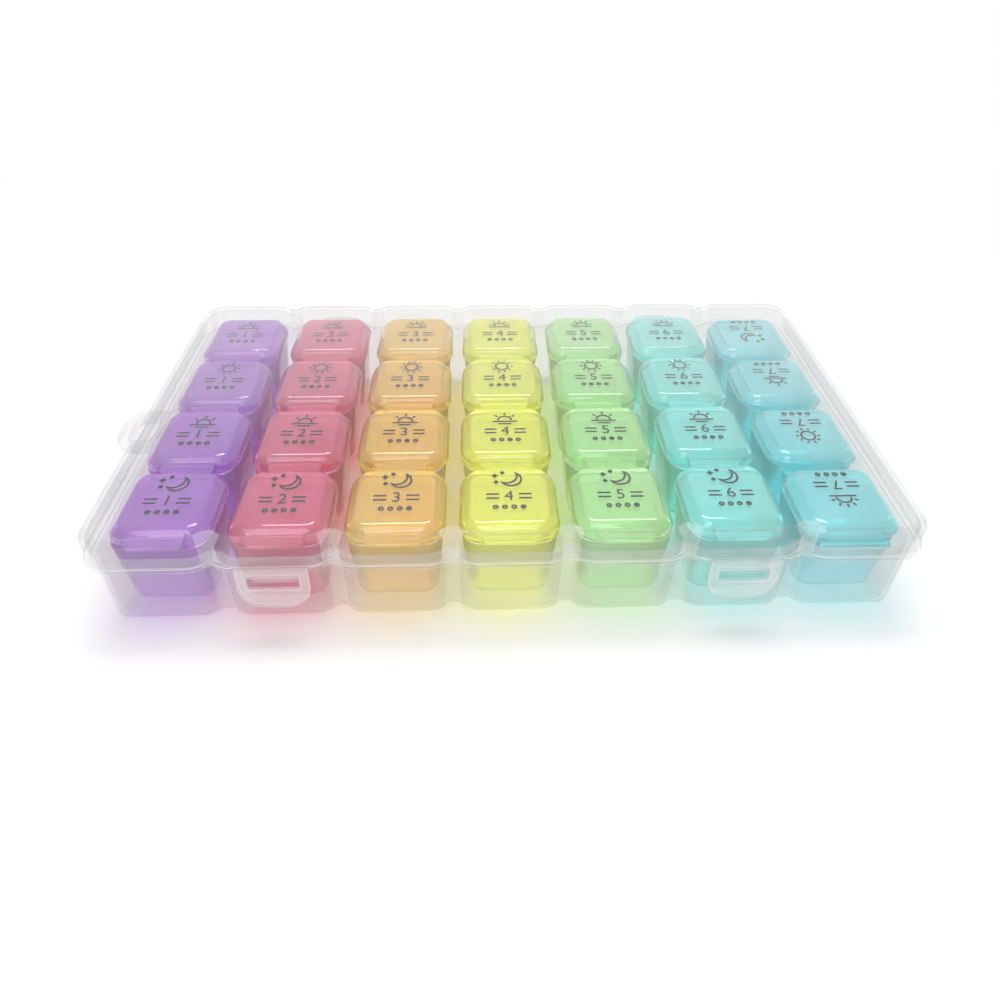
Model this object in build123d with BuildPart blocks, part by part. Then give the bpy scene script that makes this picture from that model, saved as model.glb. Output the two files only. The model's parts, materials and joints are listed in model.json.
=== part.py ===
"""Weekly pill box: a clear hinged case that holds seven coloured trays of four lidded cups.

Millimetres, +Z up, +Y to the rear (hinge side). The origin is the middle of the case's underside.
"""
import os
from math import acos, asin, atan, cos, degrees, radians, sin, sqrt

from build123d import *

# Case: the outer sizes are those of the lid's skirt
day_count = 7
row_count = 4
case_length = 212.0
case_depth = 120.0
case_height = 30.5
end_margin = 2.75
row_margin = 4.0
lobe_corner = 8.0
valley_depth = 2.4
valley_flat = 1.0

# Round corners are drawn in so many chords each, which keeps the repeated pieces light
cap_steps = 3
cup_steps = 2
lobe_steps = 3
end_steps = 5
latch_steps = 4
loop_steps = 4
knuckle_steps = 8
bead_steps = 6

# Case walls and the joint between base and lid
base_wall = 1.2
base_floor = 2.0
base_draft = 1.2
foot_chamfer = 1.6
lid_wall = 1.2
lid_depth = 9.5
lid_overlap = 3.0
lid_head_room = 1.9
lid_chamfer = 2.2
lid_to_base_gap = 0.4
edge_bead = 0.5
edge_bead_height = 1.3

# Rear hinges of the case: a clip on the lid snaps over a pin between two ears on the base
hinge_day = 2
hinge_setback = 3.2
hinge_drop = 0.8
pin_radius = 1.1
pin_fit = 0.05
clip_wall = 1.0
clip_width = 8.0
clip_slot = 1.7
clip_web = 2.4
ear_width = 2.0
ear_gap = 0.3
ear_radius = 1.9
ear_foot = 8.0

# Front latches: a flap hangs from the lid's edge over a catch on the base
latch_day = 2
latch_width = 18.0
latch_height = 12.4
latch_thickness = 1.2
latch_corner = 6.4
latch_bead_radius = 0.8
latch_bead_drop = 0.2
latch_bead_out = 0.2
latch_fit = 0.06
latch_side_gap = 0.4
window_width = 13.0
window_height = 4.0
window_top = 2.0
catch_width = 11.0
catch_height = 1.6
catch_gap = 0.3

# Hang loop on the base's left end
loop_width = 18.0
loop_reach = 11.0
loop_thickness = 2.8
loop_top_gap = 1.4
loop_band = 3.0
loop_corner = 6.0

# Day trays: four tapered cups joined by webs, with a hinge land behind the last
cup_row_gap = 3.4
cup_corner = 5.0
cup_wall = 1.2
cup_floor = 1.2
cup_draft = 1.7
cup_inner_cut = 2.6
web_width = 18.0
web_thickness = 1.6
hinge_land = 1.4
turned_day = 7

# Compartment lids: a shallow cap with a bevelled border, a thumb tongue and a hinge bead
doses = ("morning", "noon", "evening", "night")
cap_day_gap = 3.3
cap_lip = 0.7
cap_setback = 1.2
cap_corner = 5.5
cap_side = 1.5
cap_rise = 3.0
cap_bevel = 3.0
cap_wall = 1.2
cap_top = 1.2
cap_gap = 0.1
cap_inner_cut = 3.2
tongue_width = 14.7
tongue_reach = 2.0
tongue_edge = 1.0
tongue_lift = 0.3
tongue_corner = 1.4
bead_radius = 0.6
bead_lift = 0.35
bead_length = 15.0
bead_fit = 0.06

# Places worked out from the sizes above
half_length = case_length / 2
half_depth = case_depth / 2
day_pitch = (case_length - 2 * end_margin) / day_count
row_pitch = (case_depth - 2 * row_margin) / row_count
cap_width = day_pitch - cap_day_gap
cup_width = cap_width - 2 * cap_lip
cup_length = row_pitch - cup_row_gap
cap_length = cup_length - cap_setback
cap_height = cap_gap + cap_side + cap_rise
lid_edge_height = case_height - lid_depth
base_rim_height = lid_edge_height + lid_overlap
tray_rim_height = case_height - lid_wall - lid_head_room - cap_height
base_inset = lid_wall + lid_to_base_gap
foot_inset = base_inset + base_draft
lobe_run = sqrt(lobe_corner**2 - (lobe_corner - valley_depth) ** 2)
lobe_flat = day_pitch - valley_flat - 2 * lobe_run
base_taper = degrees(atan(base_draft / base_rim_height))
base_rim = Plane.XY.offset(base_rim_height)
hinge_y = half_depth + hinge_setback
hinge_z = lid_edge_height - hinge_drop
clip_radius = pin_radius + pin_fit + clip_wall
latch_y = -half_depth - latch_bead_out
latch_z = lid_edge_height - latch_bead_drop
cup_height = tray_rim_height - base_floor
cup_taper = degrees(atan(cup_draft / cup_height))
tray_rim = Plane.XY.offset(tray_rim_height)
cap_rear = cup_length / 2
cap_front = cap_rear - cap_length
cap_middle = (cap_rear + cap_front) / 2
cap_bevel_angle = degrees(atan(cap_bevel / cap_rise))
pocket_rise = cap_side + cap_rise - cap_top
pocket_draft = cap_bevel * (cap_rise - cap_top) / cap_rise
day_x = [(day - (day_count - 1) / 2) * day_pitch for day in range(day_count)]
row_y = [((row_count - 1) / 2 - row) * row_pitch for row in range(row_count)]
hinge_x = [day_x[hinge_day - 1], day_x[-hinge_day]]
latch_x = [day_x[latch_day - 1], day_x[-latch_day]]

os.makedirs("parts", exist_ok=True)


def corner_points(centre_x, centre_y, radius, start, sweep, steps):
    """Evenly spaced points on a round corner, from a start angle in degrees."""
    angles = [radians(start + sweep * step / steps) for step in range(steps + 1)]
    return [(centre_x + radius * cos(angle), centre_y + radius * sin(angle)) for angle in angles]


def soft_rectangle(width, length, corner, steps, mode=Mode.ADD):
    """A rectangle with round corners."""
    points = []
    for quarter, (x, y) in enumerate(((1, 1), (-1, 1), (-1, -1), (1, -1))):
        centre_x = x * (width / 2 - corner)
        centre_y = y * (length / 2 - corner)
        points += corner_points(centre_x, centre_y, corner, 90 * quarter, 90, steps)
    Polygon(*points, mode=mode)


def scalloped_outline(inset):
    """The case from above, drawn in by inset: a rounded lobe for each day, at the rear and the front."""
    radius = lobe_corner - inset
    lean = degrees(acos((radius - valley_depth) / radius))
    rear = []
    for x in reversed(day_x):
        for side in (1, -1):
            at_end = x == side * day_x[-1]
            centre_x = side * (half_length - lobe_corner) if at_end else x + side * lobe_flat / 2
            sweep = 90 if at_end else lean
            start = 90 - sweep if side > 0 else 90
            steps = end_steps if at_end else lobe_steps
            rear += corner_points(centre_x, half_depth - lobe_corner, radius, start, sweep, steps)
    Polygon(*rear, *[(-x, -y) for x, y in rear])


def turn_of(day):
    """The one tray that lies the other way round is turned half a turn about the vertical."""
    return 180 if day == turned_day else 0


# Case base: a scalloped tray with hinge ears and pins, latch catches and the hang loop
with BuildPart() as case_base:
    with BuildSketch():
        scalloped_outline(base_inset)
    extrude(amount=base_rim_height)
    draft(case_base.faces().filter_by(Axis.Z, reverse=True), base_rim, -base_taper)
    chamfer(case_base.faces().sort_by(Axis.Z)[0].edges(), foot_chamfer)
    root_y = half_depth - foot_inset
    ear_points = corner_points(hinge_y, hinge_z, ear_radius, -90, 270, knuckle_steps)
    ear_points += [(root_y, hinge_z), (root_y, hinge_z - ear_foot)]
    for x in hinge_x:
        for ear_x in (x - clip_width / 2 - ear_gap - ear_width, x + clip_width / 2 + ear_gap):
            with BuildSketch(Plane.YZ.offset(ear_x)):
                Polygon(*ear_points, align=None)
            extrude(amount=ear_width)
        with Locations(Location((x, hinge_y, hinge_z), (0, 90, 0))):
            Cylinder(pin_radius, clip_width + 2 * (ear_gap + ear_width))
    catch_face = latch_y + latch_thickness / 2 + catch_gap
    for x in latch_x:
        with Locations((x, (catch_face - root_y) / 2, latch_z - window_top - window_height / 2)):
            Box(catch_width, -catch_face - root_y, catch_height)
    loop_z = lid_edge_height - loop_top_gap - loop_thickness
    loop_tip = -half_length - loop_reach
    loop_root = -half_length + foot_inset
    eye_length = loop_reach - loop_band
    with BuildSketch(Plane.XY.offset(loop_z)):
        bend_x = loop_tip + loop_corner
        bend_y = loop_width / 2 - loop_corner
        loop_points = [(loop_root, -loop_width / 2), (loop_root, loop_width / 2)]
        loop_points += corner_points(bend_x, bend_y, loop_corner, 90, 90, loop_steps)
        loop_points += corner_points(bend_x, -bend_y, loop_corner, 180, 90, loop_steps)
        Polygon(*loop_points, align=None)
        with Locations((-half_length - eye_length / 2, 0)):
            eye_width = loop_width - 2 * loop_band
            eye_corner = loop_corner - loop_band
            soft_rectangle(eye_length, eye_width, eye_corner, loop_steps, mode=Mode.SUBTRACT)
    extrude(amount=loop_thickness)
    with BuildSketch(Plane.XY.offset(base_floor)):
        scalloped_outline(base_inset + base_wall)
    extrude(amount=base_rim_height - base_floor, mode=Mode.SUBTRACT)
    draft(case_base.faces(Select.LAST).filter_by(Axis.Z, reverse=True), base_rim, base_taper)
case_base.part.label = "case_base"
export_step(case_base.part, "parts/case_base.step")

# The room inside the case lid, drawn in at its top like the cover around it
with BuildPart() as lid_room:
    with BuildSketch(Plane.XY.offset(lid_edge_height)):
        scalloped_outline(lid_wall)
    extrude(amount=case_height - lid_wall - lid_edge_height)
    chamfer(lid_room.faces().sort_by(Axis.Z)[-1].edges(), lid_chamfer - lid_wall / 2)

# Case lid: a scalloped cover with a beaded edge, hinge clips and a groove for each latch
with BuildPart() as case_lid:
    with BuildSketch(Plane.XY.offset(lid_edge_height)):
        scalloped_outline(0)
    extrude(amount=case_height - lid_edge_height)
    chamfer(case_lid.faces().sort_by(Axis.Z)[-1].edges(), lid_chamfer)
    with BuildSketch(Plane.XY.offset(lid_edge_height)):
        scalloped_outline(-edge_bead)
    extrude(amount=edge_bead_height)
    bead_cut = 2 * edge_bead
    for x in latch_x:
        with Locations((x, -half_depth - bead_cut / 2, lid_edge_height + edge_bead_height / 2)):
            Box(
                latch_width + 2 * latch_side_gap, bead_cut, edge_bead_height, mode=Mode.SUBTRACT
            )
    skirt_y = half_depth - lid_wall / 2
    clip_turn = 270 + degrees(asin(hinge_drop / clip_radius))
    clip_points = corner_points(hinge_y, hinge_z, clip_radius, 90, -clip_turn, knuckle_steps)
    clip_points += [(skirt_y, lid_edge_height), (skirt_y, lid_edge_height + clip_web)]
    for x in hinge_x:
        with BuildSketch(Plane.YZ.offset(x)):
            Polygon(*clip_points, align=None)
        extrude(amount=clip_width / 2, both=True)
        with Locations(Location((x, hinge_y, hinge_z), (0, 90, 0))):
            Cylinder(pin_radius + pin_fit, clip_width, mode=Mode.SUBTRACT)
        with Locations((x, hinge_y, hinge_z - clip_radius / 2)):
            Box(clip_width, clip_slot, clip_radius, mode=Mode.SUBTRACT)
    add(lid_room.part, mode=Mode.SUBTRACT)
    for x in latch_x:
        with Locations(Location((x, latch_y, latch_z), (0, 90, 0))):
            Cylinder(
                latch_bead_radius + latch_fit, latch_width + 2 * latch_side_gap, mode=Mode.SUBTRACT
            )
case_lid.part.label = "case_lid"
export_step(case_lid.part, "parts/case_lid.step")

# Latches: a flap with a window, hung from a round bead
bend_x = latch_width / 2 - latch_corner
bend_z = latch_corner - latch_height
latch_points = [(-latch_width / 2, 0), (latch_width / 2, 0)]
latch_points += corner_points(bend_x, bend_z, latch_corner, 0, -90, latch_steps)
latch_points += corner_points(-bend_x, bend_z, latch_corner, -90, -90, latch_steps)
for side, x in zip(("left", "right"), latch_x):
    with BuildPart() as latch:
        with BuildSketch(Plane.XZ.offset(-latch_y)):
            with Locations((x, latch_z)):
                Polygon(*latch_points, align=None)
            with Locations((x, latch_z - window_top - window_height / 2)):
                Rectangle(window_width, window_height, mode=Mode.SUBTRACT)
        extrude(amount=latch_thickness / 2, both=True)
        with Locations(Location((x, latch_y, latch_z), (0, 90, 0))):
            Cylinder(latch_bead_radius, latch_width)
    latch.part.label = f"latch_{side}"
    export_step(latch.part, f"parts/latch_{side}.step")

# The room inside one cup, and the tapered cup around it
with BuildPart() as cup_room:
    with BuildSketch(Plane.XY.offset(base_floor + cup_floor)) as pocket:
        Rectangle(cup_width - 2 * cup_wall, cup_length - 2 * cup_wall)
        chamfer(pocket.vertices(), cup_inner_cut)
    extrude(amount=cup_height - cup_floor)
    draft(cup_room.faces().filter_by(Axis.Z, reverse=True), tray_rim, -cup_taper)

with BuildPart() as cup:
    with BuildSketch(Plane.XY.offset(base_floor)):
        soft_rectangle(cup_width, cup_length, cup_corner, cup_steps)
    extrude(amount=cup_height)
    draft(cup.faces().filter_by(Axis.Z, reverse=True), tray_rim, -cup_taper)
    add(cup_room.part, mode=Mode.SUBTRACT)

# One day's tray in its own place: four cups, their webs, the hinge land and the hinge grooves
with BuildPart() as tray:
    with Locations([(0, y) for y in row_y]):
        add(cup.part)
    web_length = row_pitch - cup_length + cup_wall
    web_z = tray_rim_height - web_thickness / 2
    with Locations([(0, (a + b) / 2, web_z) for a, b in zip(row_y, row_y[1:])]):
        Box(web_width, web_length, web_thickness)
    land_length = hinge_land + cup_wall / 2
    with Locations((0, row_y[0] + cap_rear + hinge_land - land_length / 2, web_z)):
        Box(web_width, land_length, web_thickness)
    with Locations([Location((0, y + cap_rear, tray_rim_height + bead_lift), (0, 90, 0)) for y in row_y]):
        Cylinder(bead_radius + bead_fit, cup_width, mode=Mode.SUBTRACT)

# One compartment lid, with the cup's middle at rim height as its own origin
with BuildPart() as cap:
    with BuildSketch(Plane.XY.offset(cap_gap)):
        with Locations((0, cap_middle)):
            soft_rectangle(cap_width, cap_length, cap_corner, cap_steps)
    extrude(amount=cap_side)
    with BuildSketch(Plane.XY.offset(cap_gap + cap_side)):
        with Locations((0, cap_middle)):
            soft_rectangle(cap_width, cap_length, cap_corner, cap_steps)
    extrude(amount=cap_rise, taper=cap_bevel_angle)
    with BuildSketch(Plane.YZ):
        with BuildLine():
            Polyline(
                (cap_front + cap_bevel, cap_height),
                (cap_front - tongue_reach, cap_gap + tongue_lift + tongue_edge),
                (cap_front - tongue_reach, cap_gap + tongue_lift),
                (cap_front + cap_bevel, cap_gap + tongue_lift),
                close=True,
            )
        make_face()
    extrude(amount=tongue_width / 2, both=True)
    chamfer(cap.edges().filter_by(Axis.Z).group_by(Axis.Y)[0], tongue_corner)
    with BuildSketch(Plane.XY.offset(cap_gap)) as hollow:
        with Locations((0, cap_middle)):
            Rectangle(cap_width - 2 * cap_wall, cap_length - 2 * cap_wall)
        chamfer(hollow.vertices(), cap_inner_cut)
    extrude(amount=pocket_rise, taper=degrees(atan(pocket_draft / pocket_rise)), mode=Mode.SUBTRACT)
    with BuildSketch(Plane.YZ):
        with BuildLine():
            CenterArc((cap_rear, bead_lift), bead_radius, 270, 90)
            Polyline(*corner_points(cap_rear, bead_lift, bead_radius, 0, 270, bead_steps))
        make_face()
    extrude(amount=bead_length / 2, both=True)

# Seven trays and their lids, each in its place
for day, x in enumerate(day_x, 1):
    turn = turn_of(day)
    facing = -1 if turn else 1
    with BuildPart() as day_tray:
        with Locations(Location((x, 0, 0), (0, 0, turn))):
            add(tray.part)
    day_tray.part.label = f"day_{day}_tray"
    export_step(day_tray.part, f"parts/day_{day}_tray.step")
    for dose, y in zip(doses, row_y):
        with BuildPart() as day_lid:
            with Locations(Location((x, facing * y, tray_rim_height), (0, 0, turn))):
                add(cap.part)
        day_lid.part.label = f"day_{day}_lid_{dose}"
        export_step(day_lid.part, f"parts/day_{day}_lid_{dose}.step")
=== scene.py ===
# %% [markdown]
# # Weekly pill box
# A clear hinged case holds seven coloured trays, one for each day, and every tray has four cups with a
# hinged lid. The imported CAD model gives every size, place and joint. Here each shell gets its moulded
# roundness, its plastic and its print, and everything rides on the CAD's own bodies.

# %% Load the frame and keep the CAD's box
import json
from math import cos, pi, radians, sin

import bmesh
import bpy
from mathutils import Euler, Matrix, Vector


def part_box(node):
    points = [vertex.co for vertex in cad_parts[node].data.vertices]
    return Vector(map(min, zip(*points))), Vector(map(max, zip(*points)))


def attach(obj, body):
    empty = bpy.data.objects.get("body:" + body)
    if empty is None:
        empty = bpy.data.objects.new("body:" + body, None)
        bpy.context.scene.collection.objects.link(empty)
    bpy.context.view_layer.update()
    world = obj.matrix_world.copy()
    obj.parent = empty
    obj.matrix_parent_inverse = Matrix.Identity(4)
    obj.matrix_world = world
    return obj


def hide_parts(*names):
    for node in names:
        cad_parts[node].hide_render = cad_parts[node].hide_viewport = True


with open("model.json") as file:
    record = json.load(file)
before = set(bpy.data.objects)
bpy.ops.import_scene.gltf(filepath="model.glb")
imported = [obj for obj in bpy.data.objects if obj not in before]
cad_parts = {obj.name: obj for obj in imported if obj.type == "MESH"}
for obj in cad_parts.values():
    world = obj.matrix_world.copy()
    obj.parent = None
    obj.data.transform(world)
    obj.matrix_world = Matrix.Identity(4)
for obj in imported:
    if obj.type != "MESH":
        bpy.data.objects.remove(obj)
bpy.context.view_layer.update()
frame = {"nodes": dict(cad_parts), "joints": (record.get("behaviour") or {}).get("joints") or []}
nodes = frame["nodes"]
hinges = {joint["name"]: joint for joint in frame["joints"]}
mm = 0.001
days = range(1, 8)
doses = ("morning", "noon", "evening", "night")
turned_day = 7


# %% Where the joints are, and which way round a tray lies
def hinge_place(node):
    return hinges[f"{node}_hinge"]["pos_m"]


def turn_of(day):
    """One tray lies the other way round."""
    return pi if day == turned_day else 0


# %% [markdown]
# ## Small helpers
# Modelling by hand in Blender is always the same round: select one object, go into edit mode, pick faces or
# edges, run an operator, come back. These few functions are that round. Picking is done by a test on place or
# direction, because a script can't click.

# %% Selecting and editing
def only(*objects):
    """Selects these objects alone, the first as the active one."""
    bpy.ops.object.select_all(action="DESELECT")
    for obj in objects:
        obj.select_set(True)
    bpy.context.view_layer.objects.active = objects[0]


def edit(obj):
    """Goes into edit mode with all of the mesh selected."""
    only(obj)
    bpy.ops.object.mode_set(mode="EDIT")
    bpy.ops.mesh.select_mode(type="VERT")
    bpy.ops.mesh.select_all(action="SELECT")


def leave():
    bpy.ops.object.mode_set(mode="OBJECT")


def pick(kind, test):
    """In edit mode, selects the verts, edges or faces that pass a test."""
    bm = bmesh.from_edit_mesh(bpy.context.edit_object.data)
    bpy.ops.mesh.select_mode(type={"verts": "VERT", "edges": "EDGE", "faces": "FACE"}[kind])
    bpy.ops.mesh.select_all(action="DESELECT")
    chosen = [item for item in getattr(bm, kind) if test(item)]
    for item in chosen:
        item.select_set(True)
    bmesh.update_edit_mesh(bpy.context.edit_object.data)
    return len(chosen)


def level(height, slack=0.02 * mm):
    """A test for edges that lie all along one height."""
    return lambda edge: all(abs(vert.co.z - height) < slack for vert in edge.verts)


# %% Steps in edit mode
own_material = -1


def draw_out(height):
    """Extrudes what is selected up, or down where the height is negative."""
    bpy.ops.mesh.extrude_region_move(TRANSFORM_OT_translate={"value": (0, 0, height)})


def face_outwards():
    bpy.ops.mesh.select_all(action="SELECT")
    bpy.ops.mesh.normals_make_consistent(inside=False)


def round_edges(test, radius, segments, slot=own_material):
    """Bevels the edges that pass a test, and says how many they are."""
    count = pick("edges", test)
    bpy.ops.mesh.bevel(affect="EDGES", offset=radius, segments=segments, material=slot)
    return count


# %% Steps on whole objects
def place_applied(obj):
    """Moves an object's place, turn and scale into its mesh."""
    only(obj)
    bpy.ops.object.transform_apply(location=True, rotation=True, scale=True)
    return obj


def boolean(obj, other, operation):
    """Adds another closed shape to obj, or cuts it out, and removes it."""
    only(obj)
    step = obj.modifiers.new("shape", "BOOLEAN")
    step.object = other
    step.operation = operation
    step.solver = "EXACT"
    bpy.ops.object.modifier_apply(modifier=step.name)
    bpy.data.objects.remove(other)
    return obj


def joined(objects):
    only(*objects)
    bpy.ops.object.join()
    return bpy.context.object


def smooth(obj, angle=35):
    """Shades smooth wherever two faces meet at less than this angle."""
    only(obj)
    bpy.ops.object.shade_smooth_by_angle(angle=radians(angle))
    return obj


def flat_faced(obj):
    """Lets large flat faces keep their own normals, so that the small rounds beside them don't bend them."""
    step = obj.modifiers.new("flat", "WEIGHTED_NORMAL")
    step.keep_sharp = True
    bpy.ops.object.modifier_apply(modifier=step.name)
    return obj


def copy_of(obj, name):
    """A copy with a mesh of its own."""
    only(obj)
    bpy.ops.object.duplicate(linked=False)
    copy = bpy.context.object
    copy.name = name
    copy.data.name = name
    return copy


# %% Primitives at their size and place
corner_segments = 8
round_sides = 32


def block(size, place, turn=0):
    bpy.ops.mesh.primitive_cube_add(size=1, location=place, rotation=(0, 0, turn))
    obj = bpy.context.object
    obj.scale = size
    return place_applied(obj)


def rod(radius, length, place):
    """A round bar along X."""
    bpy.ops.mesh.primitive_cylinder_add(
        vertices=round_sides, radius=radius, depth=length, location=place, rotation=(0, pi / 2, 0)
    )
    return place_applied(bpy.context.object)


def soft_plate(width, length, corner, place):
    """A flat face with round corners, left open in edit mode."""
    bpy.ops.mesh.primitive_plane_add(size=1, location=place)
    obj = bpy.context.object
    obj.scale = (width, length, 1)
    place_applied(obj)
    edit(obj)
    bpy.ops.mesh.bevel(affect="VERTICES", offset=corner, segments=corner_segments)
    bpy.ops.mesh.select_all(action="SELECT")
    return obj


# %% [markdown]
# ## The camera
# The camera stands where the photo was taken from, in front of the case and a little to the left, looking
# down by about a third of a right angle. It could be placed by eye, but a fit to known corners of the case
# gives its place, its lens and its shift together.

# %% Camera
view_target = Vector((2.786, 37.809, 13.0)) * mm
view_distance = 280.98 * mm
view_azimuth = -0.04668
view_elevation = 0.58506
view_roll = 0.017
focal_length = 28.348
sensor_width = 36
view_shift = (-0.0076, -0.1252)
nearest_seen = 10 * mm

view_back = Vector((
    sin(view_azimuth) * cos(view_elevation),
    -cos(view_azimuth) * cos(view_elevation),
    sin(view_elevation),
))
view_turn = Euler((pi / 2 - view_elevation, 0, view_azimuth)).to_matrix()
view_turn = view_turn @ Matrix.Rotation(view_roll, 3, "Z")
bpy.ops.object.camera_add(
    location=view_target + view_back * view_distance, rotation=view_turn.to_euler()
)
camera = bpy.context.object
camera.data.sensor_width = sensor_width
camera.data.lens = focal_length
camera.data.shift_x, camera.data.shift_y = view_shift
camera.data.clip_start = nearest_seen
bpy.context.scene.camera = camera
print("camera at", [round(v, 4) for v in camera.location])

# %% [markdown]
# ## One compartment lid
# A real lid is a shallow cap: a low straight side, a broad bevelled border, a flat panel for the print, a
# tongue for the thumb and a bead for the hinge. A subdivided box would round it too, but it would soften the
# panel's outline. So a flat face with round corners is extruded and inset, and its lines are bevelled. It is
# modelled once about its own hinge line, and each of the lids is a copy.

# %% Lid sizes, from the frame and from the moulding
lid_low, lid_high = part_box("day_4_lid_noon")
lid_hinge = Vector(hinge_place("day_4_lid_noon"))
bead_radius = lid_high.y - lid_hinge.y
lid_width = lid_high.x - lid_low.x
tongue_tip = lid_low.y - lid_hinge.y
tongue_reach = 2.0 * mm
lid_front = tongue_tip + tongue_reach
bead_lift = 0.35 * mm
lid_bottom = lid_low.z - lid_hinge.z + bead_lift
lid_top = lid_high.z - lid_hinge.z
lid_corner = 5.5 * mm
lid_side = 1.5 * mm
lid_wall = 1.2 * mm
rear_lean = 1.2 * mm
side_border = 3.0 * mm
front_border = 1.5 * mm
rear_border = 1.8 * mm
panel_edge = 1.0 * mm
panel_segments = 4
cap_length = -lid_front
cap_rise = lid_top - lid_bottom - lid_side
print("lid", [round(v / mm, 2) for v in (lid_width, lid_front, lid_bottom, lid_top)])

# %% The cap: a flat face drawn up, leant back at the hinge, then drawn in to the panel
lid_master = soft_plate(lid_width, cap_length, lid_corner, (0, lid_front / 2, lid_bottom))
draw_out(lid_side)
lean = (1, (cap_length + rear_lean) / cap_length, 1)
bpy.ops.transform.resize(value=lean, center_override=(0, lid_front, 0))
bpy.ops.mesh.inset(thickness=side_border, depth=cap_rise)
drawn_length = cap_length + rear_lean - 2 * side_border
panel_length = cap_length + rear_lean - front_border - rear_border
bpy.ops.transform.resize(
    value=(1, panel_length / drawn_length, 1), center_override=(0, (lid_front + rear_lean) / 2, 0)
)
bpy.ops.transform.translate(value=(0, (front_border - rear_border) / 2, 0))
shoulder, panel_line = level(lid_bottom + lid_side), level(lid_top)
round_edges(lambda edge: shoulder(edge) or panel_line(edge), panel_edge, panel_segments)
face_outwards()
leave()
print("cap faces", len(lid_master.data.polygons))

# %% The tongue, a thin plate that slopes down in front of the panel
tongue_width = 14.7 * mm
tongue_lift = 0.3 * mm
tongue_wall = 1.0 * mm
tongue_corner = 1.5 * mm
tongue_corner_segments = 5
tongue_round = 0.25 * mm
tongue_crease = radians(50)
small_segments = 3
tongue_low = lid_bottom + tongue_lift
tongue_back = lid_front + front_border
tongue_top = lid_top - panel_edge


def at_tip_corner(edge):
    """True for the two short upright edges at the tongue's tip."""
    first, last = (vert.co for vert in edge.verts)
    return max(first.y, last.y) < lid_front and abs(first.x - last.x) < tongue_lift


tongue = block(
    (tongue_width, tongue_back - tongue_tip, tongue_wall),
    (0, (tongue_back + tongue_tip) / 2, tongue_top - tongue_wall / 2),
)
edit(tongue)
pick("verts", lambda vert: vert.co.y < lid_front)
bpy.ops.transform.translate(value=(0, 0, tongue_low + tongue_wall - tongue_top))
round_edges(at_tip_corner, tongue_corner, tongue_corner_segments)
round_edges(lambda edge: edge.calc_face_angle(0) > tongue_crease, tongue_round, small_segments)
leave()
print("tongue faces", len(tongue.data.polygons))
boolean(lid_master, tongue, "UNION")

# %% The room under the lid, and the hinge bead
bead_length = 15.0 * mm
lid_room = soft_plate(
    lid_width - 2 * lid_wall, cap_length - 2 * lid_wall, lid_corner - lid_wall,
    (0, lid_front / 2, lid_bottom - lid_wall),
)
draw_out(lid_side + lid_wall)
bpy.ops.mesh.inset(thickness=side_border - lid_wall, depth=cap_rise - lid_wall)
face_outwards()
leave()
boolean(lid_master, lid_room, "DIFFERENCE")
boolean(lid_master, rod(bead_radius, bead_length, (0, 0, 0)), "UNION")
smooth(lid_master)
print("lid faces", len(lid_master.data.polygons))

# %% [markdown]
# ## One day's tray
# Each tray is four tapered cups with round corners and round bottoms, joined by thin webs at the rim. A block
# with four pockets cut out would be quicker, but then the walls would not be even. So a cup is a flat face
# with round corners, drawn down and in, then inset at the rim and drawn down again for its inside.

# %% Tray sizes
tray_low, tray_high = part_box("day_4_tray")
rim = tray_high.z
cup_width = tray_high.x - tray_low.x
cup_length = 24.6 * mm
cup_corner = 5.0 * mm
cup_draft = 1.7 * mm
cup_wall = 1.2 * mm
cup_depth = rim - tray_low.z
groove_rows = [hinge_place(f"day_4_lid_{dose}")[1] for dose in doses]
cup_rows = [y - cup_length / 2 for y in groove_rows]
print("cup", [round(v / mm, 2) for v in (cup_width, cup_length, cup_depth)])

# %% One cup
flat = 0.9
foot_round = 3.0 * mm
foot_segments = 6
inner_foot_round = 2.2 * mm
inner_foot_segments = 5
rim_round = 0.3 * mm
rim_segments = 2


def cup(y):
    """A tapered cup whose middle lies at y."""
    obj = soft_plate(cup_width, cup_length, cup_corner, (0, y, rim))
    taper = (1 - 2 * cup_draft / cup_width, 1 - 2 * cup_draft / cup_length, 1)
    draw_out(-cup_depth)
    bpy.ops.transform.resize(value=taper, center_override=(0, y, 0))
    face_outwards()
    pick("faces", lambda face: face.normal.z > flat)
    bpy.ops.mesh.inset(thickness=cup_wall)
    draw_out(cup_wall - cup_depth)
    bpy.ops.transform.resize(value=taper, center_override=(0, y, 0))
    round_edges(level(rim - cup_depth), foot_round, foot_segments)
    round_edges(level(rim - cup_depth + cup_wall), inner_foot_round, inner_foot_segments)
    round_edges(level(rim), rim_round, rim_segments)
    leave()
    return obj


# %% Cups, webs and hinge grooves
web_width = 18.0 * mm
web_thickness = 1.6 * mm
web_drop = 1.0 * mm
bead_fit = 0.06 * mm
tray_master = joined([cup(y) for y in cup_rows])
web_z = rim - web_thickness / 2 - web_drop
web_length = cup_rows[0] - cup_rows[1] - cup_length + cup_wall
webs = [
    block((web_width, web_length, web_thickness), (0, (a + b) / 2, web_z))
    for a, b in zip(cup_rows, cup_rows[1:])
]
land_reach = tray_high.y - groove_rows[0]
land_length = land_reach + cup_wall / 2
land_y = cup_rows[0] + cup_length / 2 + land_reach - land_length / 2
webs.append(block((web_width, land_length, web_thickness), (0, land_y, web_z)))
boolean(tray_master, joined(webs), "UNION")
grooves = [rod(bead_radius + bead_fit, cup_width, (0, y, lid_hinge.z)) for y in groove_rows]
boolean(tray_master, joined(grooves), "DIFFERENCE")
smooth(tray_master)
print("tray faces", len(tray_master.data.polygons))

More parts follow.
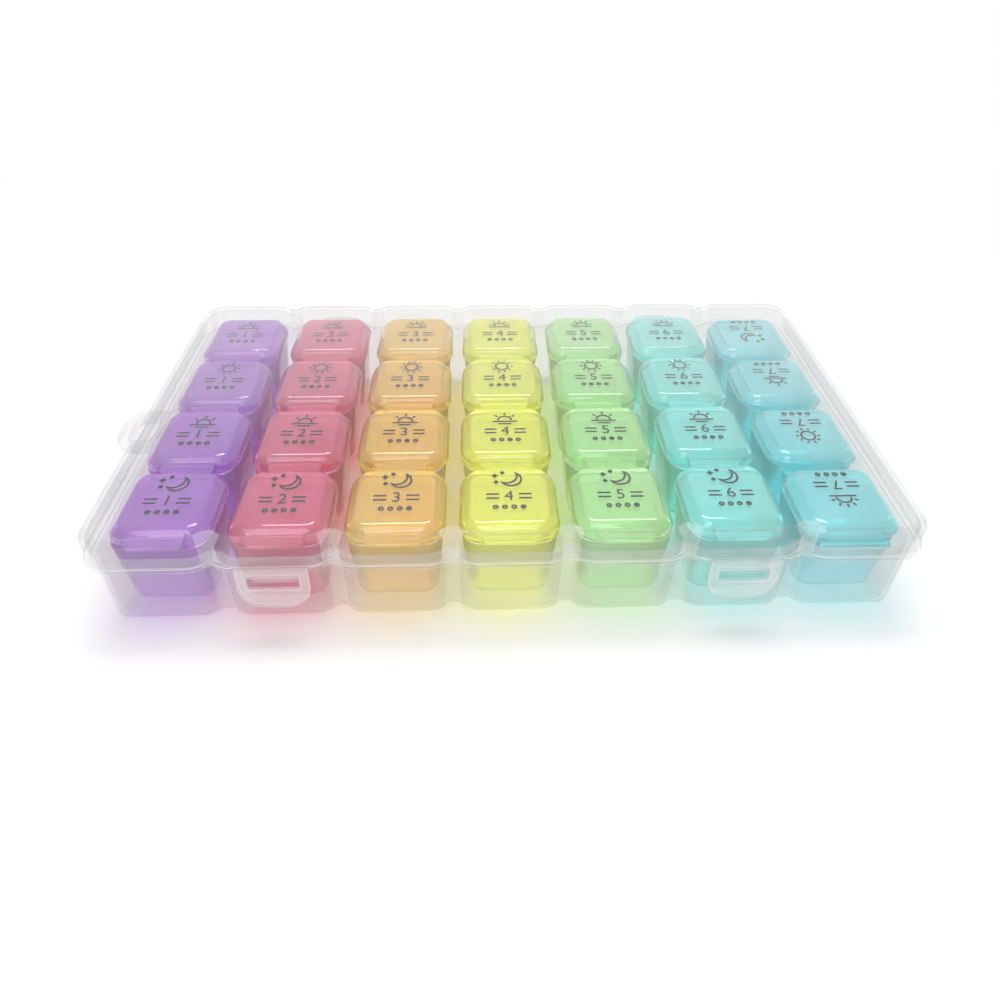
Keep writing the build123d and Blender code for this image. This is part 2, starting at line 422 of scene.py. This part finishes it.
# %% [markdown]
# ## The case
# The scalloped shells and the latches keep the CAD's form. They could be modelled again, but the CAD's walls
# are exact already. So a copy of each is merged into whole faces, and its edges get the small rounds of a
# moulding, which catch the light as thin bright lines. The lid's flat top, the edges and the valleys between
# two lobes get material slots of their own. The edges and valleys take a whiter, more opaque plastic: a
# painted highlight that brightens those lines. The lid's top takes a painted sheen that whitens it at a
# slant.

# %% Sizes of the case's lines
# The edge and valley slots hold a painted highlight, a whiter clear plastic for the bright lines; the top
# slot holds a painted sheen.
wall_slot, edge_highlight_slot, valley_highlight_slot, top_sheen_slot = range(4)
day_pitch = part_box("day_2_tray")[0].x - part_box("day_1_tray")[0].x
valley_half = 1.6 * mm
valley_reach = 52.0 * mm
case_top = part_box("case_lid")[1].z
lid_chamfer = 2.2 * mm
foot_chamfer = 1.6 * mm
lid_edge = 21.0 * mm
edge_bead = 1.3 * mm
crease_length = 4.0 * mm
base_rim = 22.7 * mm
line_round = 0.2 * mm
crease_round = 0.6 * mm
lid_crease_round = 0.3 * mm
bead_round = 0.15 * mm
latch_round = 0.25 * mm
latch_crease = 60
print("day pitch", round(day_pitch / mm, 2), "case top", round(case_top / mm, 2))


# %% Tests for edges
def creased(*tests, least=20):
    """A test for edges where two faces meet at more than a few degrees."""
    return lambda edge: any(test(edge) for test in tests) and edge.calc_face_angle(0) > radians(least)


def ridged(*tests):
    """A test for such edges that stand out, which leaves the inner corner behind a narrow ledge alone."""
    crease = creased(*tests)
    return lambda edge: edge.is_convex and crease(edge)


def from_valley(place):
    """How far a place is, along X, from the nearest valley between two lobes of a long wall."""
    across = (place.x / day_pitch + 0.5) % 1 * day_pitch
    return min(across, day_pitch - across)


def upright(edge):
    """True for the upright creases of the scallops, on the outside of the long walls."""
    low, high = sorted(vert.co.z for vert in edge.verts)
    middle = (edge.verts[0].co + edge.verts[1].co) / 2
    outside = all(face.normal.y * middle.y > 0 for face in edge.link_faces)
    return high - low > crease_length and outside and from_valley(middle) < 2 * valley_half


# %% Tests for faces
def in_valley(face):
    """True for the narrow outer faces between two lobes of a long wall."""
    place = face.calc_center_median()
    outside = face.normal.y * place.y > abs(place.y) / 2 and abs(place.y) > valley_reach
    return outside and from_valley(place) < valley_half


def on_top(face):
    """True for the two sides of the lid's flat top."""
    return abs(face.normal.z) > flat and face.calc_center_median().z > case_top - lid_chamfer


def on_ledge(face):
    """True for the narrow ledge on top of the lid's edge bead, too thin to be merged into one face."""
    height = face.calc_center_median().z - lid_edge - edge_bead
    return abs(face.normal.z) > flat and abs(height) < line_round


# %% Soft copies of the CAD shells
merge_distance = 0.0005 * mm
same_plane = radians(0.5)
shell_smooth = 32


def soft_copy(node, rounds, trim=None):
    """A copy of a CAD node with its loose triangles joined, its rim trimmed and some of its edges rounded."""
    obj = copy_of(nodes[node], node + "_shell")
    while len(obj.data.materials) <= top_sheen_slot:
        obj.data.materials.append(None)
    edit(obj)
    bpy.ops.mesh.remove_doubles(threshold=merge_distance)
    pick("faces", lambda face: not on_ledge(face))
    bpy.ops.mesh.dissolve_limited(angle_limit=same_plane)
    bpy.ops.mesh.select_all(action="SELECT")
    if trim:
        bpy.ops.mesh.bisect(plane_co=(0, 0, trim), plane_no=(0, 0, 1), use_fill=True, clear_outer=True)
    for test, radius, slot in rounds:
        print(node, "edges rounded", round_edges(test, radius, small_segments, slot))
    # The valley faces take the painted highlight, and the lid's top faces the painted sheen.
    for slot, test in ((valley_highlight_slot, in_valley), (top_sheen_slot, on_top)):
        pick("faces", test)
        obj.active_material_index = slot
        bpy.ops.object.material_slot_assign()
    leave()
    return flat_faced(smooth(obj, shell_smooth))


# %% The lid, the base and the two latches
# Rounds put in the edge and valley slots take the painted highlight plastic.
lid_shell = soft_copy("case_lid", [
    (creased(upright), lid_crease_round, valley_highlight_slot),
    (creased(level(case_top)), line_round, valley_highlight_slot),
    (creased(level(case_top - lid_chamfer)), line_round, wall_slot),
    (ridged(level(lid_edge), level(lid_edge + edge_bead)), bead_round, edge_highlight_slot),
])
base_shell = soft_copy("case_base", [
    (creased(upright), crease_round, valley_highlight_slot),
    (creased(level(0), level(foot_chamfer)), line_round, valley_highlight_slot),
], trim=base_rim)
latch_edges = creased(lambda edge: True, least=latch_crease)
latch_shells = {
    latch: soft_copy(latch, [(latch_edges, latch_round, edge_highlight_slot)])
    for latch in ("latch_left", "latch_right")
}

# %% [markdown]
# ## Plastics
# The case is clear polypropylene: nearly colourless, a little milky, glossy. Real refraction would be the
# usual way, but through so many thin walls it turns dark and smeared. So the case is a see-through wall by
# alpha, with more body where it is looked at along its length. Its rounded edges and valleys are whiter
# still, a painted highlight, and the lid's top whitens at a slant, a painted sheen. The trays and lids are
# the same plastic with a pastel dye. They refract and blur what lies behind them, and let the lamps through
# in their own colour, so that the gaps between the days and the floor are tinted.

# %% The moulded plastic that all of them share
cloud_scale = 70
cloud_detail = 3
dye_range = (0.3, 0.75)
ripple_scale = 160
ripple_detail = 1
ripple_depth = 0.2 * mm
gloss_scale = 220
gloss_spread = 0.2
coat_blur = 0.02
coat_ior = 1.7


def add_node(tree, kind, **sockets):
    """A new node. A socket is named in small letters, with an underscore for each space."""
    node = tree.nodes.new(kind)
    for name, value in sockets.items():
        node.inputs[name.replace("_", " ").title()].default_value = value
    return node


def plastic(name, tint, haze, through, blur, gloss, ripple, ior):
    """A moulded plastic that lets light through: hazy clouds, a rippled skin and an uneven polish."""
    material = bpy.data.materials.new(name)
    material.use_nodes = True
    tree = material.node_tree
    link = tree.links.new
    shader = tree.nodes["Principled BSDF"]
    place = add_node(tree, "ShaderNodeTexCoord")
    clouds = add_node(tree, "ShaderNodeTexNoise", scale=cloud_scale, detail=cloud_detail)
    dye = add_node(tree, "ShaderNodeValToRGB")
    for stop, position, colour in zip(dye.color_ramp.elements, dye_range, (tint, haze)):
        stop.position = position
        stop.color = (*colour, 1)
    polish = add_node(tree, "ShaderNodeTexNoise", scale=gloss_scale)
    least, most = blur * (1 - gloss_spread), blur * (1 + gloss_spread)
    polish_range = add_node(tree, "ShaderNodeMapRange", to_min=least, to_max=most)
    skin = add_node(tree, "ShaderNodeTexNoise", scale=ripple_scale, detail=ripple_detail)
    bump = add_node(tree, "ShaderNodeBump", strength=ripple, distance=ripple_depth)
    for noise in (clouds, polish, skin):
        link(place.outputs["Object"], noise.inputs["Vector"])
    link(clouds.outputs["Fac"], dye.inputs["Fac"])
    link(dye.outputs["Color"], shader.inputs["Base Color"])
    link(polish.outputs["Fac"], polish_range.inputs["Value"])
    link(polish_range.outputs["Result"], shader.inputs["Roughness"])
    link(skin.outputs["Fac"], bump.inputs["Height"])
    link(bump.outputs["Normal"], shader.inputs["Normal"])
    shader.inputs["IOR"].default_value = ior
    shader.inputs["Transmission Weight"].default_value = through
    shader.inputs["Coat Weight"].default_value = gloss
    shader.inputs["Coat Roughness"].default_value = coat_blur
    shader.inputs["Coat IOR"].default_value = coat_ior
    return material


def paler(tint, share):
    """A tint moved towards white by a share of the way."""
    return tuple(value + (1 - value) * share for value in tint)


# %% Clear plastic: a thin wall with more body at a slant, with painted highlights and a painted sheen
clear_tint = (0.42, 0.42, 0.41)
clear_haze = 0.3
clear_ripple = 0.01
clear_ior = 1.5
even_blend = 0.5


def edge_on(material, facing, grazing, start, full):
    """Makes a thin clear wall whiter where it is looked at along its length: its body on a wall, a painted
    sheen on the lid's top.
    """
    tree = material.node_tree
    slant = add_node(tree, "ShaderNodeLayerWeight", blend=even_blend)
    body = add_node(
        tree, "ShaderNodeMapRange", from_min=start, from_max=full, to_min=facing, to_max=grazing
    )
    tree.links.new(slant.outputs["Facing"], body.inputs["Value"])
    tree.links.new(body.outputs["Result"], tree.nodes["Principled BSDF"].inputs["Alpha"])
    return material


def clear(name, milk_and_highlight, facing, grazing, start=0.45, full=1.0, blur=0.08):
    """Clear plastic with its whiteness and its body from the front and at a slant: milkiness on a wall, a
    painted highlight on the edges and valleys, a painted sheen on the lid's top.
    """
    tint = paler(clear_tint, milk_and_highlight)
    material = plastic(
        name, tint, paler(tint, clear_haze),
        through=0.0, blur=blur, gloss=0.0, ripple=clear_ripple, ior=clear_ior,
    )
    return edge_on(material, facing, grazing, start, full)


clear_base = clear("clear_base_wall", milk_and_highlight=0.35, facing=0.22, grazing=0.5)
clear_lid = clear("clear_lid_wall", milk_and_highlight=0, facing=0.13, grazing=0.5)
# The lid's top is a painted sheen: a milkier white that fades in at a slant, where a real top would reflect
# the bright surround.
clear_top_sheen = clear(
    "clear_lid_top", milk_and_highlight=0.35, facing=0.06, grazing=0.25, start=0.4, full=0.58, blur=0.3
)
clear_latch = clear("clear_latch_wall", milk_and_highlight=0.6, facing=0.25, grazing=0.6)
# The latch edges, the case's edges and its valleys are whiter and more opaque: a painted highlight for the
# bright lines that light draws along them.
clear_latch_edge = clear("clear_latch_edge", milk_and_highlight=0.9, facing=0.35, grazing=0.6)
clear_edge_highlight = clear("clear_case_edge", milk_and_highlight=0.9, facing=0.5, grazing=0.7)
clear_valley_highlight = clear("clear_case_valley", milk_and_highlight=0.8, facing=0.25, grazing=0.6)
print("materials", len(bpy.data.materials))

# %% Dyed plastic, one dye for each day
day_colours = {
    1: ("purple", (0.62, 0.21, 0.82)),
    2: ("pink", (0.86, 0.10, 0.35)),
    3: ("orange", (0.95, 0.74, 0.03)),
    4: ("yellow", (0.95, 0.97, 0.02)),
    5: ("green", (0.67, 0.95, 0.53)),
    6: ("aqua", (0.39, 0.94, 0.91)),
    7: ("blue", (0.38, 0.90, 0.93)),
}
lid_haze = 0.15
tray_haze = 0.2
passed_share = 0.5
dyed_ripple = 0.02


def lets_light(material, tint):
    """Lets lamps shine through a dyed wall, as thin plastic does, so that it colours what lies below it."""
    tree = material.node_tree
    passed = add_node(tree, "ShaderNodeBsdfTransparent", color=(*tint, 1))
    ray = add_node(tree, "ShaderNodeLightPath")
    blend = add_node(tree, "ShaderNodeMixShader")
    tree.links.new(ray.outputs["Is Shadow Ray"], blend.inputs["Fac"])
    tree.links.new(tree.nodes["Principled BSDF"].outputs["BSDF"], blend.inputs[1])
    tree.links.new(passed.outputs["BSDF"], blend.inputs[2])
    tree.links.new(blend.outputs["Shader"], tree.nodes["Material Output"].inputs["Surface"])
    return material


lid_plastics = {}
tray_plastics = {}
for day, (colour, dye_tint) in day_colours.items():
    passed_tint = paler(dye_tint, passed_share)
    lid_plastic = plastic(
        f"{colour}_lid_plastic", dye_tint, paler(dye_tint, lid_haze),
        through=0.82, blur=0.12, gloss=1.0, ripple=dyed_ripple, ior=1.45,
    )
    lid_plastics[day] = lets_light(lid_plastic, passed_tint)
    tray_plastic = plastic(
        f"{colour}_tray_plastic", dye_tint, paler(dye_tint, tray_haze),
        through=0.7, blur=0.16, gloss=0.6, ripple=dyed_ripple, ior=1.4,
    )
    tray_plastics[day] = lets_light(tray_plastic, passed_tint)
print("materials", len(bpy.data.materials))

# %% [markdown]
# ## Everything in its place
# The lid and the tray were each modelled once. Linked copies would save memory, but every copy here has a
# mesh of its own. A finished piece sits at the origin with its place in its mesh, takes over from its CAD
# node and rides on that node's body.

# %% Put the shells, trays and lids in place
def dress(obj, materials, body, node):
    """Gives a piece its plastic and puts it in its node's place."""
    while len(obj.data.materials) < len(materials):
        obj.data.materials.append(None)
    while len(obj.data.materials) > len(materials):
        obj.data.materials.pop()
    for index, material in enumerate(materials):
        obj.data.materials[index] = material
    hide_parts(node)
    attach(obj, body)


# The edge, valley and latch-edge plastics are painted highlights, and the lid's top plastic is a painted
# sheen.
dress(base_shell, [clear_base, clear_edge_highlight, clear_valley_highlight], "case", "case_base")
dress(lid_shell, [clear_lid, clear_edge_highlight, clear_valley_highlight, clear_top_sheen], "lid", "case_lid")
for latch, shell in latch_shells.items():
    dress(shell, [clear_latch, clear_latch_edge, clear_valley_highlight], latch, latch)
for day in days:
    low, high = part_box(f"day_{day}_tray")
    tray = copy_of(tray_master, f"day_{day}_tray_shell")
    tray.location = ((low.x + high.x) / 2, 0, 0)
    tray.rotation_euler.z = turn_of(day)
    dress(place_applied(tray), [tray_plastics[day]], "case", f"day_{day}_tray")
    for dose in doses:
        node = f"day_{day}_lid_{dose}"
        lid = copy_of(lid_master, f"{node}_shell")
        lid.location = hinge_place(node)
        lid.rotation_euler.z = turn_of(day)
        dress(place_applied(lid), [lid_plastics[day]], node, node)
for master in (lid_master, tray_master):
    bpy.data.objects.remove(master)
print("trays", len(days), "lids", len(days) * len(doses))

# %% [markdown]
# ## The print
# Every panel is printed in dark ink: a pictogram for the time of day, the day's number between bars, and four
# dots with the dose's own dot filled. A print could be a picture on the plastic, but thin solid strokes stay
# sharp at any distance, so each mark is a very thin plate. The pictograms and the numbers are made once.

# %% Strokes of ink
ink_height = 0.08 * mm
ink_line = 0.55 * mm
ink_proud = 0.2
ink_z = lid_top + ink_proud * ink_height
cutter_height = 3 * ink_height
deep_cutter_height = 5 * ink_height


def dot(radius, x, y, height=ink_height):
    bpy.ops.mesh.primitive_cylinder_add(
        vertices=round_sides, radius=radius, depth=height, location=(x, y, ink_z)
    )
    return place_applied(bpy.context.object)


def ring(radius, x, y):
    disc = dot(radius + ink_line / 2, x, y)
    return boolean(disc, dot(radius - ink_line / 2, x, y, cutter_height), "DIFFERENCE")


def bar(length, x, y, turn=0):
    return block((length, ink_line, ink_height), (x, y, ink_z), turn)


def rays(count, first, last, length, y):
    """Short bars that stand round a sun, from one angle in degrees to another."""
    turns = [radians(first) + radians(last - first) * step / (count - 1) for step in range(count)]
    middle = ray_near + length / 2
    return [bar(length, middle * cos(turn), y + middle * sin(turn), turn) for turn in turns]


# %% Sun, star and moon
sun_radius = 2.0 * mm
ray_near = 2.7 * mm
ray_length = 1.1 * mm
short_ray = 0.8 * ray_length


def half_sun(y):
    sun = ring(sun_radius, 0, y)
    edit(sun)
    bpy.ops.mesh.bisect(plane_co=(0, y, 0), plane_no=(0, 1, 0), use_fill=True, clear_inner=True)
    leave()
    return sun


def star(size, x, y):
    return [bar(size, x, y), bar(size, x, y, pi / 2)]


def crescent(radius, x, y, bite, shift):
    """A disc with a round bite, hollowed to an outline."""
    moon = boolean(dot(radius, x, y), dot(bite, x - shift, y + shift, cutter_height), "DIFFERENCE")
    inside = dot(radius - ink_line, x, y, cutter_height)
    boolean(inside, dot(bite + ink_line, x - shift, y + shift, deep_cutter_height), "DIFFERENCE")
    return boolean(moon, inside, "DIFFERENCE")


# %% Four pictograms
horizon = 7.4 * mm
icon_y = 5.0 * mm
sunrise_drop = 1.6 * mm
sunrise_y = icon_y - sunrise_drop
horizon_bar = (horizon, 0, sunrise_y - ink_line)
lower_bar = (horizon / 2, 0, sunrise_y - 3 * ink_line)
moon_radius = 3.0 * mm
moon_x = 0.8 * mm
moon_bite = 0.86 * moon_radius
moon_shift = 0.42 * moon_radius
large_star = 1.7 * mm
small_star = 1.3 * mm
pictograms = {
    "morning": [half_sun(sunrise_y), bar(*horizon_bar)]
    + rays(count=5, first=18, last=162, length=ray_length, y=sunrise_y),
    "noon": [ring(sun_radius, 0, icon_y)]
    + rays(count=10, first=0, last=324, length=short_ray, y=icon_y),
    "evening": [half_sun(sunrise_y), bar(*horizon_bar), bar(*lower_bar)]
    + rays(count=3, first=40, last=140, length=ray_length, y=sunrise_y),
    "night": [crescent(moon_radius, moon_x, icon_y, moon_bite, moon_shift)]
    + star(large_star, x=-3.6 * mm, y=icon_y + 1.4 * mm)
    + star(small_star, x=-1.5 * mm, y=icon_y + 2.6 * mm)
    + star(small_star, x=-3.3 * mm, y=icon_y - 1.2 * mm),
}
print("strokes", {dose: len(strokes) for dose, strokes in pictograms.items()})

# %% Four dots under each pictogram, the dose's own one filled
pip_radius = 0.8 * mm
pip_pitch = 2.4 * mm
pip_y = -5.8 * mm
pip_places = [(step - (len(doses) - 1) / 2) * pip_pitch for step in range(len(doses))]
dose_prints = {}
for filled, dose in enumerate(doses):
    pips = [
        dot(pip_radius, x, pip_y) if step == filled else ring(pip_radius - ink_line / 2, x, pip_y)
        for step, x in enumerate(pip_places)
    ]
    dose_prints[dose] = joined(pictograms[dose] + pips)
    print(dose, "print faces", len(dose_prints[dose].data.polygons))

# %% Seven numbers
number_size = 5.2 * mm
number_y = -1.7 * mm
number_seam = 0.1 * ink_height
bar_length = 3.4 * mm
bar_x = 4.3 * mm
bar_gap = 0.8 * mm
day_prints = {}
for day in days:
    bpy.ops.object.text_add(location=(0, number_y, ink_z))
    number = bpy.context.object
    number.data.body = str(day)
    number.data.size = number_size
    number.data.align_x = "CENTER"
    number.data.align_y = "CENTER"
    number.data.extrude = ink_height / 2
    bpy.ops.object.convert(target="MESH")
    number = place_applied(bpy.context.object)
    edit(number)
    bpy.ops.mesh.remove_doubles(threshold=number_seam)
    leave()
    bars = [bar(bar_length, x, number_y + y) for x in (-bar_x, bar_x) for y in (-bar_gap, bar_gap)]
    day_prints[day] = joined([number] + bars)
print("numbers", len(day_prints))


# %% Ink
def print_ink(grain_scale, dark, light, blur):
    """A dull ink whose tone varies a little."""
    material = bpy.data.materials.new("dark_print_ink")
    material.use_nodes = True
    tree = material.node_tree
    shader = tree.nodes["Principled BSDF"]
    place = add_node(tree, "ShaderNodeTexCoord")
    grain = add_node(tree, "ShaderNodeTexNoise", scale=grain_scale)
    tone = add_node(tree, "ShaderNodeValToRGB")
    for stop, colour in zip(tone.color_ramp.elements, (dark, light)):
        stop.color = (*colour, 1)
    tree.links.new(place.outputs["Object"], grain.inputs["Vector"])
    tree.links.new(grain.outputs["Fac"], tone.inputs["Fac"])
    tree.links.new(tone.outputs["Color"], shader.inputs["Base Color"])
    shader.inputs["Roughness"].default_value = blur
    return material


ink = print_ink(grain_scale=900, dark=(0.008, 0.007, 0.01), light=(0.03, 0.027, 0.035), blur=0.45)

# %% A print on every lid
print_shift = 2.2 * mm
turned_shift = -1.5 * mm
for day in days:
    shift = turned_shift if day == turned_day else print_shift
    step = Matrix.Rotation(turn_of(day), 3, "Z") @ Vector((0, shift - cup_length / 2, 0))
    for dose in doses:
        node = f"day_{day}_lid_{dose}"
        marks = joined([copy_of(dose_prints[dose], f"{node}_print"), copy_of(day_prints[day], "number")])
        marks.location = Vector(hinge_place(node)) + step
        marks.rotation_euler.z = turn_of(day)
        place_applied(marks)
        marks.data.materials.clear()
        marks.data.materials.append(ink)
        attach(marks, node)
for master in [*dose_prints.values(), *day_prints.values()]:
    bpy.data.objects.remove(master)
print("prints", len(days) * len(doses))

# %% [markdown]
# ## Floor and light
# A white studio: a pale floor that keeps a soft shadow, an even white surround, a soft lamp above the case
# and another in front of it. Strong lamps would whiten the floor as well, but they would bleach the dyes. So
# the lamps stay weak, and the floor far from the case and the surround are plain white only to the eye, to
# reflections and through clear plastic.

# %% Rays that look at a thing, and don't light another
def looking(tree):
    """One for a ray from the camera, a reflection or a refraction, and nought for light that bounces."""
    ray = add_node(tree, "ShaderNodeLightPath")
    shown = ray.outputs["Is Camera Ray"]
    for kind in ("Is Glossy Ray", "Is Transmission Ray"):
        either = add_node(tree, "ShaderNodeMath")
        either.operation = "MAXIMUM"
        tree.links.new(shown, either.inputs[0])
        tree.links.new(ray.outputs[kind], either.inputs[1])
        shown = either.outputs["Value"]
    return shown


# %% Floor
floor_size = 6.0
floor_drop = 0.02 * mm
floor_tint = (0.95, 0.95, 0.95, 1)
floor_blur = 0.9
white_from = 0.2
white_to = 0.4


def floor_paint():
    """Pale paint near the case, which fades to plain white further out."""
    material = bpy.data.materials.new("floor_paint")
    material.use_nodes = True
    tree = material.node_tree
    link = tree.links.new
    paint = tree.nodes["Principled BSDF"]
    paint.inputs["Base Color"].default_value = floor_tint
    paint.inputs["Roughness"].default_value = floor_blur
    white = add_node(tree, "ShaderNodeEmission")
    place = add_node(tree, "ShaderNodeTexCoord")
    away = add_node(tree, "ShaderNodeVectorMath")
    away.operation = "LENGTH"
    fade = add_node(tree, "ShaderNodeMapRange", from_min=white_from, from_max=white_to)
    fade.interpolation_type = "SMOOTHSTEP"
    share = add_node(tree, "ShaderNodeMath")
    share.operation = "MULTIPLY"
    blend = add_node(tree, "ShaderNodeMixShader")
    link(place.outputs["Object"], away.inputs[0])
    link(away.outputs["Value"], fade.inputs["Value"])
    link(fade.outputs["Result"], share.inputs[0])
    link(looking(tree), share.inputs[1])
    link(share.outputs["Value"], blend.inputs["Fac"])
    link(paint.outputs["BSDF"], blend.inputs[1])
    link(white.outputs["Emission"], blend.inputs[2])
    link(blend.outputs["Shader"], tree.nodes["Material Output"].inputs["Surface"])
    return material


bpy.ops.mesh.primitive_plane_add(size=floor_size, location=(0, 0, -floor_drop))
floor = bpy.context.object
floor.name = "studio_floor"
floor.data.materials.append(floor_paint())
print("floor", floor_size, "m")

# %% Surround
surround = 0.62
world = bpy.data.worlds.new("studio_white")
bpy.context.scene.world = world
world.use_nodes = True
background = world.node_tree.nodes["Background"]
background.inputs["Color"].default_value = (1, 1, 1, 1)
strength = add_node(world.node_tree, "ShaderNodeMapRange", to_min=surround, to_max=1)
world.node_tree.links.new(looking(world.node_tree), strength.inputs["Value"])
world.node_tree.links.new(strength.outputs["Result"], background.inputs["Strength"])
print("surround lights with", surround)


# %% Lamps
def strip_lamp(place, length, width, watts):
    """A long soft lamp that looks at the middle of the case."""
    bpy.ops.object.light_add(type="AREA", location=place)
    lamp = bpy.context.object
    lamp.data.shape = "RECTANGLE"
    lamp.data.size = length
    lamp.data.size_y = width
    lamp.data.energy = watts
    lamp.rotation_euler = (-Vector(place)).to_track_quat("-Z", "Y").to_euler()
    print("lamp at", place, watts, "W")


strip_lamp(place=(0, 0.18, 0.65), length=0.5, width=0.2, watts=2.4)
strip_lamp(place=(-0.15, -0.7, 0.4), length=0.6, width=0.4, watts=1.8)

# %% Colours as written, and light through many walls
bounces = 24
scene = bpy.context.scene
scene.view_settings.view_transform = "Standard"
scene.cycles.max_bounces = bounces
scene.cycles.transmission_bounces = bounces
scene.cycles.transparent_max_bounces = bounces
print("view", scene.view_settings.view_transform, "bounces", bounces)
